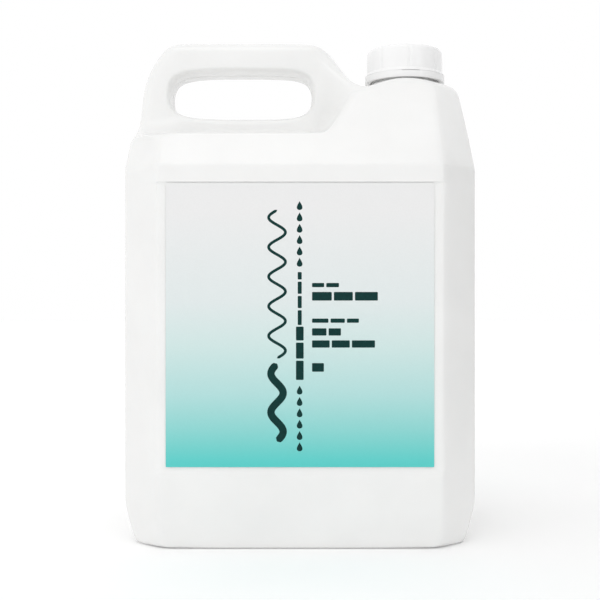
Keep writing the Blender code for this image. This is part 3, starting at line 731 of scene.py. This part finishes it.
def cap_mesh():
    """The cap's skin in rings from the crown's middle, down outside, and up again inside.

    A ring is (radius, height, how much of the facets it shows).
    """
    bottom = CAP_LOW.z
    top = CAP_HIGH.z
    flare = bottom + 1.5
    ceiling = LINER_HIGH.z + 0.3
    profile = [
        (0, top, 0),
        (6, top, 0),
        (13, top - 0.05, 0),
        (17.5, top - 0.15, 0),
        (19.6, top - 0.35, 0.15),
        (20.9, top - 0.85, 0.4),
        (21.6, top - 1.6, 0.75),
        (21.95, top - 2.7, 1),
        (CAP_RADIUS - 0.06, top - 4.2, 1),
        (CAP_RADIUS, top - 6.5, 1),
        (CAP_RADIUS, top - 9.5, 1),
        (CAP_RADIUS, flare + 0.7, 1),
        (CAP_RADIUS + 0.05, flare + 0.15, 0.8),
        (CAP_RADIUS + 0.3, flare - 0.45, 0.45),
        (CAP_RADIUS + 0.72, flare - 0.95, 0.12),
        (HEM_RADIUS - 0.06, flare - 1.35, 0),
        (HEM_RADIUS, flare - 1.7, 0),
        (HEM_RADIUS, bottom + 0.12, 0),
        (HEM_RADIUS - 0.1, bottom, 0),
        (CAP_INSIDE + 0.25, bottom, 0),
        (CAP_INSIDE, bottom + 0.25, 0),
        (CAP_INSIDE, ceiling - 0.6, 0),
        (CAP_INSIDE - 0.6, ceiling, 0),
        (19.3, ceiling, 0),
        (19.3, ceiling - 0.35, 0),
        (19.0, ceiling - 0.35, 0),
        (19.0, ceiling, 0),
        (0, ceiling, 0),
    ]
    bm = bmesh.new()
    rings = []
    for radius, height, amount in profile:
        if radius == 0:
            rings.append(add_centre(bm, ROUND_STEPS, height))
            continue
        rings.append(add_round(
            bm,
            ROUND_STEPS,
            lambda angle: cap_outline(angle, radius, amount),
            lambda angle: height,
        ))
    skin_rings(bm, rings, closed=False)
    return finished_round(bm, "cap_shell")


def make_cap(plastic):
    shell = helper("cap_shell", cap_mesh())
    start = NECK_TOP - 1.2 - THREAD_PITCH * (THREAD_TURNS + 0.32)
    ridge = helper("cap_thread", thread_ridge("cap_thread", CAP_INSIDE, 1.2, -1.1, start))
    boolean(shell, "UNION", ridge)
    mesh = baked(shell, "screw_cap_moulding", 32, (ridge,))
    new_piece("screw_cap_moulding", mesh, plastic, "cap", "cap_plastic", "screw_cap")


def make_band(plastic):
    """The tamper band. Its upper edge follows the cap's hem, but for one short slit in front."""
    low = BAND_LOW.z - 0.3
    high = CAP_LOW.z - 0.15
    slit_middle = math.radians(-87)
    slit_half = math.radians(13)
    slit_ease = math.radians(1.6)
    slit_depth = 0.22

    def top(angle):
        off = math.atan2(math.sin(angle - slit_middle), math.cos(angle - slit_middle))
        share = min(max((slit_half - abs(off)) / slit_ease + 0.5, 0), 1)
        return high - slit_depth * share * share * (3 - 2 * share)

    # (radius, height, whether the height is measured from the upper edge)
    profile = [
        (HEM_RADIUS - 0.12, 0, True),
        (HEM_RADIUS, -0.1, True),
        (HEM_RADIUS, low + 0.35, False),
        (HEM_RADIUS - 0.1, low + 0.1, False),
        (HEM_RADIUS - 0.3, low, False),
        (CAP_INSIDE + 0.5, low, False),
        (CAP_INSIDE + 0.15, low + 0.15, False),
        (CAP_INSIDE, low + 0.5, False),
        (CAP_INSIDE, low + 1.0, False),
        (19.6, low + 1.5, False),
        (19.4, low + 1.75, False),
        (19.6, low + 2.0, False),
        (CAP_INSIDE, low + 2.3, False),
        (CAP_INSIDE, -0.1, True),
        (CAP_INSIDE + 0.12, 0, True),
    ]
    bm = bmesh.new()
    rings = []
    for radius, height, follows in profile:
        rings.append(add_round(
            bm,
            ROUND_STEPS,
            lambda angle: radius,
            lambda angle: top(angle) + height if follows else height,
        ))
    skin_rings(bm, rings, closed=True)
    mesh = finished_round(bm, "tear_band")
    new_piece("tear_band", mesh, plastic, "band", "cap_plastic", "tamper_band")


def make_liner():
    """The foam wad, with the ring that the neck's rim has pressed into its lower face."""
    low = LINER_LOW.z
    high = LINER_HIGH.z
    edge = (LINER_HIGH.x - LINER_LOW.x) / 2
    mesh = lathe("foam_wad", [
        (0, high, 0),
        (edge, high, 0.2),
        (edge, low, 0.2),
        (NECK_RADIUS + 0.1, low, 0.1),
        (NECK_RADIUS - 0.2, low + 0.18, 0.1),
        (BORE_RADIUS + 0.2, low + 0.18, 0.1),
        (BORE_RADIUS - 0.1, low, 0.1),
        (0, low, 0),
    ])
    new_piece("foam_wad", mesh, expanded_foam(), "lift", "liner_foam", "cap_liner")


# ---------------------------------------------------------------- labels and their print
# Shapes of the print are drawn in the plane of the front label, as outlines of (x, z).

INK_RISE = 0.03  # how far the ink's face stands out from the film
INK_SINK = 0.02  # and how far its back is sunk into it
FILM_SET_BACK = 0.18  # how far the film's face stands behind the face of the frame's label
FILM_SIDE = 0.4  # how much further the film reaches at each side
FILM_FOOT = 0.1  # and at its foot
FILM_GAP = 0.9  # bare strip between the film and the step above it
NEAREST = 0.01  # points of an outline nearer than this become one
DROP_HEIGHT = 4.7
DROP_PITCH = 5.93
DOT_GAP = 1.1  # length of a break in a bar
LEAST_TIP = 0.02  # a stroke never quite closes to a point


def rounded_outline(x0, z0, x1, z1, radius, steps=6):
    outline = []
    for x, z, start in ((x1, z0, 270), (x1, z1, 0), (x0, z1, 90), (x0, z0, 180)):
        centre_x = x - radius if x == x1 else x + radius
        centre_z = z - radius if z == z1 else z + radius
        for step in range(steps + 1):
            angle = math.radians(start + 90 * step / steps)
            across = radius * math.cos(angle)
            outline.append((centre_x + across, centre_z + radius * math.sin(angle)))
    return outline


def drop_outline(x, z, height, steps=28):
    """A water drop, pointed above and round below."""
    radius = 0.36 * height
    outline = []
    for step in range(steps):
        turn = 2 * math.pi * step / steps
        width = radius * math.sin(turn) * math.sin(turn / 2) ** 1.5
        outline.append((x - 1.25 * width, z + 0.5 * height * math.cos(turn)))
    return outline


def wave_edges(x, z0, z1, reach, thickness, turns):
    """The two edges of a stroke that winds from side to side up the label, with round tips."""
    left = []
    right = []
    steps = 32 * turns
    for step in range(steps + 1):
        share = step / steps
        z = z0 + share * (z1 - z0)
        phase = 2 * math.pi * turns * share
        middle = x + reach * math.sin(phase)
        slope = reach * math.cos(phase) * 2 * math.pi * turns / (z1 - z0)
        length = math.hypot(1, slope)
        to_tip = min(share, 1 - share) * (z1 - z0) * length
        tip = min(1, (to_tip + LEAST_TIP) / (0.5 * thickness))
        half = 0.5 * thickness * math.sqrt(1 - (1 - tip) ** 2)
        left.append((middle - half / length, z + half * slope / length))
        right.append((middle + half / length, z - half * slope / length))
    return left, right


def add_ribbon(bm, edges, near, far):
    """A winding flat stroke between these two y values."""
    rings = []
    for (left_x, left_z), (right_x, right_z) in zip(*edges):
        corners = (
            (left_x, near, left_z),
            (right_x, near, right_z),
            (right_x, far, right_z),
            (left_x, far, left_z),
        )
        rings.append([bm.verts.new(Vector(corner) * MM) for corner in corners])
    for here, there in zip(rings, rings[1:]):
        for index in range(4):
            after = (index + 1) % 4
            bm.faces.new((here[index], here[after], there[after], there[index]))
    bm.faces.new(rings[0])
    bm.faces.new(rings[-1])


def add_prism(bm, outline, near, far):
    """A flat shape between these two y values."""
    tidy = []
    for x, z in outline:
        if not tidy or math.hypot(x - tidy[-1][0], z - tidy[-1][1]) > NEAREST:
            tidy.append((x, z))
    if math.hypot(tidy[0][0] - tidy[-1][0], tidy[0][1] - tidy[-1][1]) < NEAREST:
        tidy.pop()
    front = [bm.verts.new(Vector((x, near, z)) * MM) for x, z in tidy]
    back = [bm.verts.new(Vector((x, far, z)) * MM) for x, z in tidy]
    bm.faces.new(front)
    bm.faces.new(back[::-1])
    for index in range(len(front)):
        after = (index + 1) % len(front)
        bm.faces.new((front[after], front[index], back[index], back[after]))


def flat_mesh(name, outlines, waves, near, far):
    bm = bmesh.new()
    for outline in outlines:
        add_prism(bm, outline, near, far)
    for edges in waves:
        add_ribbon(bm, edges, near, far)
    bmesh.ops.triangulate(bm, faces=bm.faces)
    bmesh.ops.recalc_face_normals(bm, faces=bm.faces)
    return to_mesh(bm, name)


def bar(x0, z0, x1, z1, ends=0.45):
    return rounded_outline(x0, z0, x1, z1, min(ends, 0.45 * (z1 - z0)))


def dotted_bar(x0, z0, x1, z1, gaps):
    """A bar that is broken at these shares of its length."""
    edges = [0.0]
    for gap in gaps:
        edges += [gap, gap + DOT_GAP / (x1 - x0)]
    edges.append(1.0)
    outlines = []
    for start, end in zip(edges[::2], edges[1::2]):
        outlines.append(bar(x0 + start * (x1 - x0), z0, x0 + end * (x1 - x0), z1))
    return outlines


def upright(x0, z0, x1, z1, gaps):
    """The same, standing upright."""
    return [[(z, x) for x, z in outline] for outline in dotted_bar(z0, x0, z1, x1, gaps)]


def front_print():
    outlines = []
    for index in range(6):
        for top in (180.3, 83.8):
            outlines.append(drop_outline(-0.2, top - DROP_PITCH * index, DROP_HEIGHT))
    outlines += upright(-1.2, 117.8, 0.9, 145.5, (0.28, 0.55, 0.82))
    outlines += upright(-2.1, 89.1, 1.9, 117.0, (0.36, 0.7))
    for x1, z0, z1, gaps in (
        (20.4, 137.6, 139.8, (0.45,)),
        (40.7, 130.6, 135.1, (0.3, 0.62)),
        (30.8, 119.0, 121.2, (0.35, 0.7)),
        (21.4, 112.3, 116.1, (0.5,)),
        (39.2, 106.0, 109.8, (0.28, 0.6)),
        (12.5, 93.4, 97.9, ()),
    ):
        outlines += dotted_bar(6.3, z0, x1, z1, gaps)
    return outlines


def back_print():
    """Plain blocks for the text on the back. The whole block is turned to face the other way."""
    outlines = []
    for index in range(5):
        outlines.append(drop_outline(-12 + 6 * index, 181, 5.6))
    ends = (0.0, 0.06, 0.02, 0.3, 0.0, 0.12, 0.04, 0.0, 0.45)
    breaks = ((0.22, 0.51, 0.8), (0.35, 0.66), (0.18, 0.44, 0.71))
    for x0, x1, lines in ((-58, -4, 17), (4, 58, 11)):
        for line in range(lines):
            z = 168 - 4.4 * line
            end = x1 - ends[line % len(ends)] * (x1 - x0)
            gaps = breaks[line % len(breaks)]
            outlines += dotted_bar(x0, z - 1.7, end, z, gaps)
    for line in range(4):
        z = 82 - 6.2 * line
        outlines += dotted_bar(-58, z - 2.6, 14 - 9 * (line % 2), z, (0.3, 0.64))
    # A block of plain upright bars over a thin line
    outlines.append(bar(24, 56, 58, 57))
    for index in range(13):
        x = 27 + 2.2 * index
        width = (0.7, 1.3, 0.5, 0.9)[index % 4]
        outlines.append(bar(x, 60, x + width, 80, ends=0.05))
    return outlines


def make_label(side, low, high, node, film, ink, outlines, waves):
    """A film with rounded corners and its print. Its edges stop a little short of the panel's."""
    skin, under, out = (low.y, high.y, -1) if low.y < 0 else (high.y, low.y, 1)
    outer = skin - out * FILM_SET_BACK
    outline = rounded_outline(
        low.x - FILM_SIDE, low.z - FILM_FOOT, high.x + FILM_SIDE, PANEL_TOP - FILM_GAP, 0.5
    )
    name = side + "_film"
    new_piece(
        name, flat_mesh(name, [outline], [], outer, under), film, "bottle", "label_film", node
    )
    name = side + "_ink"
    near = outer + out * INK_RISE
    far = outer - out * INK_SINK
    new_piece(name, flat_mesh(name, outlines, waves, near, far), ink, "bottle", "label_film")


def make_labels():
    film = printed_film()
    ink = green_ink()
    waves = [
        wave_edges(-12.0, 57.0, 97.5, 3.2, 3.9, 2),
        wave_edges(-12.0, 100.5, 177.9, 4.4, 1.5, 5),
    ]
    make_label("front", LABEL_LOW, LABEL_HIGH, "front_label", film, ink, front_print(), waves)
    turned = [[(-x, z) for x, z in outline] for outline in back_print()]
    make_label("back", BACK_LOW, BACK_HIGH, "back_label", film, ink, turned, [])


# ---------------------------------------------------------------- materials


def linear(code):
    """An sRGB hex colour as linear RGBA."""
    channels = []
    for start in (0, 2, 4):
        value = int(code[start:start + 2], 16) / 255
        channels.append(value / 12.92 if value <= 0.04045 else ((value + 0.055) / 1.055) ** 2.4)
    return (*channels, 1.0)


def add_node(tree, kind, settings=None, values=None, links=None, stops=None):
    """A node with its settings, input values, (from node, output) links and colour stops."""
    node = tree.nodes.new(kind)
    for name, value in (settings or {}).items():
        setattr(node, name, value)
    for name, value in (values or {}).items():
        node.inputs[name].default_value = value
    for name, (source, output) in (links or {}).items():
        tree.links.new(source.outputs[output], node.inputs[name])
    if stops:
        elements = node.color_ramp.elements
        while len(elements) < len(stops):
            elements.new(0.5)
        for element, (place, code) in zip(elements, stops):
            element.position = place
            element.color = linear(code)
    return node


def surface_material(name, colour, shader, bumps=(), glow=0.0):
    """A surface with these (noise scale per metre, detail, height in metres) bumps.

    colour is a function of the node tree and its place node, and gives a (node, output). A glow
    is in the same colour.
    """
    material = bpy.data.materials.new(name)
    material.use_nodes = True
    tree = material.node_tree
    tree.nodes.clear()
    place = add_node(tree, "ShaderNodeTexCoord")
    shade = colour(tree, place)
    links = {"Base Color": shade}
    if glow:
        links["Emission Color"] = shade
        shader = shader | {"Emission Strength": glow}
    for scale, detail, height in bumps:
        noise = add_node(
            tree,
            "ShaderNodeTexNoise",
            values={"Scale": scale, "Detail": detail, "Roughness": 0.5},
            links={"Vector": (place, "Object")},
        )
        below = {"Normal": links["Normal"]} if "Normal" in links else {}
        bump = add_node(
            tree,
            "ShaderNodeBump",
            values={"Distance": height},
            links=below | {"Height": (noise, "Fac")},
        )
        links["Normal"] = (bump, "Normal")
    surface = add_node(tree, "ShaderNodeBsdfPrincipled", values=shader, links=links)
    add_node(tree, "ShaderNodeOutputMaterial", links={"Surface": (surface, "BSDF")})
    return material


def mottled(dark, light, scale, detail=3.0, roughness=0.55):
    """A colour that drifts between two near shades in soft patches, this many to the metre."""

    def colour(tree, place):
        noise = add_node(
            tree,
            "ShaderNodeTexNoise",
            values={"Scale": scale, "Detail": detail, "Roughness": roughness},
            links={"Vector": (place, "Object")},
        )
        shade = add_node(
            tree,
            "ShaderNodeValToRGB",
            links={"Fac": (noise, "Fac")},
            stops=[(0.3, dark), (0.7, light)],
        )
        return shade, "Color"

    return colour


def blown_hdpe():
    # White high-density polyethylene, extrusion blow-moulded against a lightly blasted steel mould.
    # The eye sees a satin milk white, broad highlights and a skin that is never quite flat.
    return surface_material(
        "HDPE, blow-moulded",
        mottled("ececeb", "f0f0ef", 28.0),
        {
            "Roughness": 0.27,
            "IOR": 1.54,
            "Subsurface Weight": 0.12,
            "Subsurface Radius": (0.0016, 0.0015, 0.0014),
            "Subsurface Scale": 1.0,
        },
        # The blasted mould's grain is 0.1 mm across and is drawn four times coarser, so that it
        # shows; the slow ripples are the wall drawing back as it cools.
        [(2400.0, 2.0, 0.000012), (34.0, 1.0, 0.00016)],
    )


def moulded_pp():
    # White polypropylene, injection-moulded in a polished tool. The eye sees a cleaner, tighter
    # shine than the bottle's, with a very faint flow pattern.
    return surface_material(
        "polypropylene, injection-moulded",
        mottled("f2f2f2", "f5f5f5", 60.0),
        {
            "Roughness": 0.22,
            "IOR": 1.49,
            "Subsurface Weight": 0.08,
            "Subsurface Radius": (0.001, 0.001, 0.001),
            "Subsurface Scale": 1.0,
        },
        # The polished tool leaves ripples about 1 mm across, over slow sink marks of 8 mm.
        [(900.0, 2.0, 0.000006), (120.0, 1.0, 0.00003)],
    )


def expanded_foam():
    # Expanded polyethylene sheet, die-cut. The eye sees a dull warm white with fine closed cells.
    return surface_material(
        "polyethylene foam, die-cut",
        mottled("dcdad2", "e9e7e0", 900.0),
        {"Roughness": 0.75, "IOR": 1.5},
        # Cells of about 0.2 mm, drawn at 0.5 mm.
        [(2000.0, 3.0, 0.00006)],
    )


# The printed tint from the label's foot upwards: (height in mm, colour)
TINT = (
    (43, "4dc9c4"),
    (47, "56cbc6"),
    (52, "67cdc8"),
    (81, "addad8"),
    (107, "cce2e0"),
    (130, "dde5e5"),
    (177, "e8e8e8"),
)


def deepening_tint(tree, place):
    low = TINT[0][0]
    high = TINT[-1][0]
    axes = add_node(tree, "ShaderNodeSeparateXYZ", links={"Vector": (place, "Object")})
    height = add_node(
        tree,
        "ShaderNodeMapRange",
        values={"From Min": low * MM, "From Max": high * MM},
        links={"Value": (axes, "Z")},
    )
    tint = add_node(
        tree,
        "ShaderNodeValToRGB",
        links={"Fac": (height, "Result")},
        stops=[((z - low) / (high - low), code) for z, code in TINT],
    )
    # The tint is a screen of dots 0.15 mm apart, too fine to show, so it is drawn as a faint
    # grain of 0.6 mm.
    grain = mottled("fdfdfd", "ffffff", 1600.0, detail=1.0, roughness=0.5)(tree, place)
    mixed = add_node(
        tree,
        "ShaderNodeMix",
        settings={"data_type": "RGBA", "blend_type": "MULTIPLY"},
        values={0: 1.0},
        links={6: (tint, "Color"), 7: grain},
    )
    return mixed, 2


def printed_film():
    # White polypropylene film, gravure-printed with a tint that deepens downwards. The eye sees a
    # satin sheet, smoother than the bottle round it, white above and aqua at its foot.
    return surface_material(
        "polypropylene film, printed",
        deepening_tint,
        {"Roughness": 0.3, "IOR": 1.49},
        # The film follows the wall's slow waves, 22 mm across, and has a fine orange peel.
        [(45.0, 1.0, 0.00004), (1400.0, 2.0, 0.000003)],
    )


def green_ink():
    # Dark green gravure ink under a satin varnish. The eye sees near-black green, a soft sheen.
    return surface_material(
        "gravure ink, varnished",
        mottled("05302e", "083835", 700.0),
        {"Roughness": 0.34, "IOR": 1.5, "Specular IOR Level": 0.12},
        # The varnish dries with an orange peel of about 0.7 mm.
        [(1500.0, 2.0, 0.000004)],
    )


# ---------------------------------------------------------------- floor, light and camera


def matt(name, dark, light, scale, glow=0.0):
    """A dull, even surface of the studio's."""
    colour = mottled(dark, light, scale, detail=2.0, roughness=0.5)
    return surface_material(name, colour, {"Roughness": 0.9}, glow=glow)


def make_floor():
    bm = bmesh.new()
    bmesh.ops.create_circle(bm, cap_ends=True, cap_tris=True, segments=96, radius=6.0)
    floor = helper("studio_floor", to_mesh(bm, "studio_floor"))
    # Pale matt paint. The eye sees an even white with no edge; a faint glow lifts it to the wall's.
    floor.data.materials.append(matt("studio floor, painted", "fbfbfb", "fefefe", 6.0, glow=0.04))


def make_flag():
    """A grey card out of sight on the right, which takes some of the light from that side."""
    half = 0.35
    height = 0.6
    bm = bmesh.new()
    corners = [(-half, 0, 0), (half, 0, 0), (half, 0, height), (-half, 0, height)]
    bm.faces.new([bm.verts.new(Vector(corner)) for corner in corners])
    flag = helper("flag_right", to_mesh(bm, "flag_right"))
    flag.location = (0.55, -0.1, 0)
    flag.rotation_euler = (0, 0, math.radians(80))
    flag.visible_camera = False
    # Uncoated grey board. It is never seen itself: the bottle's right side is darker for it.
    flag.data.materials.append(matt("grey card, matt", "aaaaaa", "b2b2b2", 40.0))


def make_light():
    """An even white studio, a soft light above in front, and a thin strip at each side."""
    world = bpy.data.worlds.new("white studio")
    world.use_nodes = True
    sky = world.node_tree.nodes["Background"]
    sky.inputs["Color"].default_value = (1, 1, 1, 1)
    sky.inputs["Strength"].default_value = 1.0
    bpy.context.scene.world = world
    middle = Vector((0, 0, 0.15))
    # (name, place, width and height in metres, watts)
    for name, place, size, power in (
        ("top", (-0.12, -0.45, 1.35), (0.6, 0.6), 1.2),
        ("strip_right", (0.55, -0.55, 0.30), (0.06, 0.5), 0.27),
        ("strip_left", (-0.55, -0.55, 0.30), (0.06, 0.5), 0.09),
    ):
        light = bpy.data.lights.new(name, "AREA")
        light.shape = "RECTANGLE"
        light.size, light.size_y = size
        light.energy = power
        lamp = helper(name, light)
        lamp.location = place
        lamp.rotation_euler = (middle - Vector(place)).to_track_quat("-Z", "Y").to_euler()


def make_camera():
    """Level, 0.6 m in front of the bottle's middle."""
    lens = bpy.data.cameras.new("camera")
    lens.sensor_width = 36
    lens.lens = 61.2
    lens.clip_end = 50
    camera = helper("camera", lens)
    camera.location = (0, -0.600, 0.1309)
    camera.rotation_euler = (math.radians(90), 0, 0)
    bpy.context.scene.camera = camera


cap_plastic = moulded_pp()
make_bottle()
make_cap(cap_plastic)
make_band(cap_plastic)
make_liner()
make_labels()
make_floor()
make_light()
make_flag()
make_camera()
bpy.context.scene.view_settings.view_transform = "Standard"
